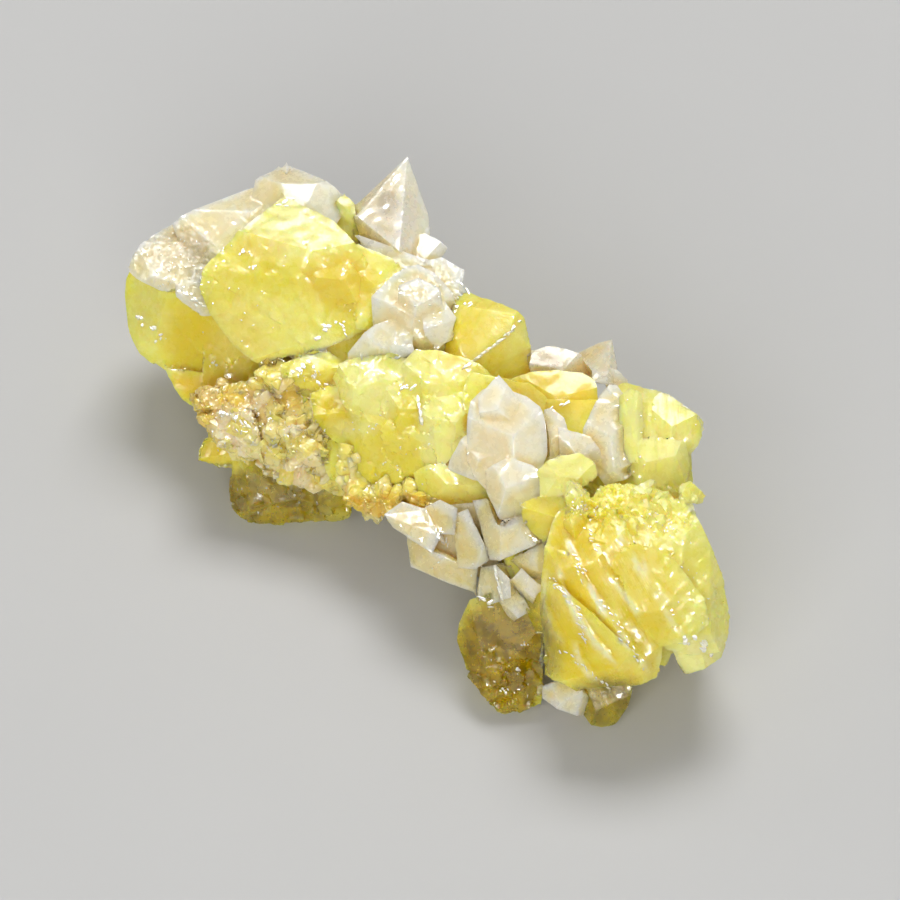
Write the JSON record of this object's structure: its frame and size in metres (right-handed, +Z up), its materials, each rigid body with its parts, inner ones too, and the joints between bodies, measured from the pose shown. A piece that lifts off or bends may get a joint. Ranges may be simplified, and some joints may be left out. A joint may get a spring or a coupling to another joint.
{
  "type": "native sulfur crystal specimen",
  "caption": "Hand specimen of native sulfur: translucent yellow crystals grown together with cream calcite crystals and a granular crust, lying on its feet.",
  "frame": {"origin": "middle of the specimen's box, at the height of the surface it lies on", "axes": "+X along the length of the specimen, towards the end with the large broken crystal; +Z up"},
  "size_m": [0.0492, 0.023, 0.016],
  "materials": {
    "sulfur": "resinous to adamantine lustre, translucent lemon to honey yellow",
    "calcite": "vitreous, milky to clear, cream and faintly pink",
    "stained_calcite": "vitreous, stained orange-honey by sulfur and iron",
    "crust": "granular, sparkling, with yellow and orange-brown stains"
  },
  "bodies": {
    "root": {"sulfur_crystals": "sulfur", "calcite_ridge": "calcite", "calcite_spire": "calcite", "calcite_centre": "calcite", "calcite_points": "stained_calcite", "calcite_column": "calcite", "calcite_teeth": "calcite", "calcite_chip": "calcite", "crust": "crust", "crust_edge": "crust"}
  },
  "joints": []
}
